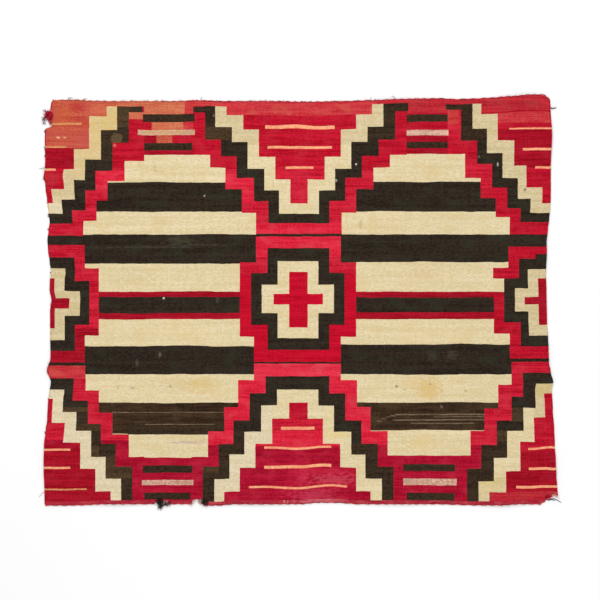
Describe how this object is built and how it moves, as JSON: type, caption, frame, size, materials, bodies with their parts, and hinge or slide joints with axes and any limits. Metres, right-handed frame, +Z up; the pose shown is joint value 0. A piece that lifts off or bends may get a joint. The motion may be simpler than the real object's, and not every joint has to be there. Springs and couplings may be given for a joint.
{
  "type": "navajo chief blanket",
  "caption": "Flat handwoven wool blanket of the chief type, with stepped diamonds and crosses over wide stripes, twined edge cords and frayed corners.",
  "frame": {"origin": "under the middle of the blanket's outline, on the surface that it lies on", "axes": "+X along the weft, the blanket's longer side; +Y along the warp, towards its upper edge; +Z up, out of the face that shows"},
  "size_m": [1.8061, 1.435, 0.0086],
  "materials": {
    "web": "weft-faced handspun wool, matt, with crimson, ivory, brown-black and pale gold weft",
    "selvage": "two-strand twined wool cord, matt",
    "loose_red_yarn": "loose woollen yarn ends, fuzzy and matt",
    "loose_dark_yarn": "loose woollen yarn ends, fuzzy and matt"
  },
  "bodies": {
    "root": {"blanket_web": "web", "selvage_top": "selvage", "selvage_right": "selvage", "selvage_left_upper": "selvage", "selvage_left_lower": "selvage", "selvage_bottom_left": "selvage", "selvage_bottom_middle": "selvage", "selvage_bottom_right": "selvage", "cord_tail_lower_right": "selvage", "tuft_left": "loose_red_yarn", "tuft_bottom_left": "loose_dark_yarn", "tuft_bottom_middle": "loose_dark_yarn"}
  },
  "joints": []
}
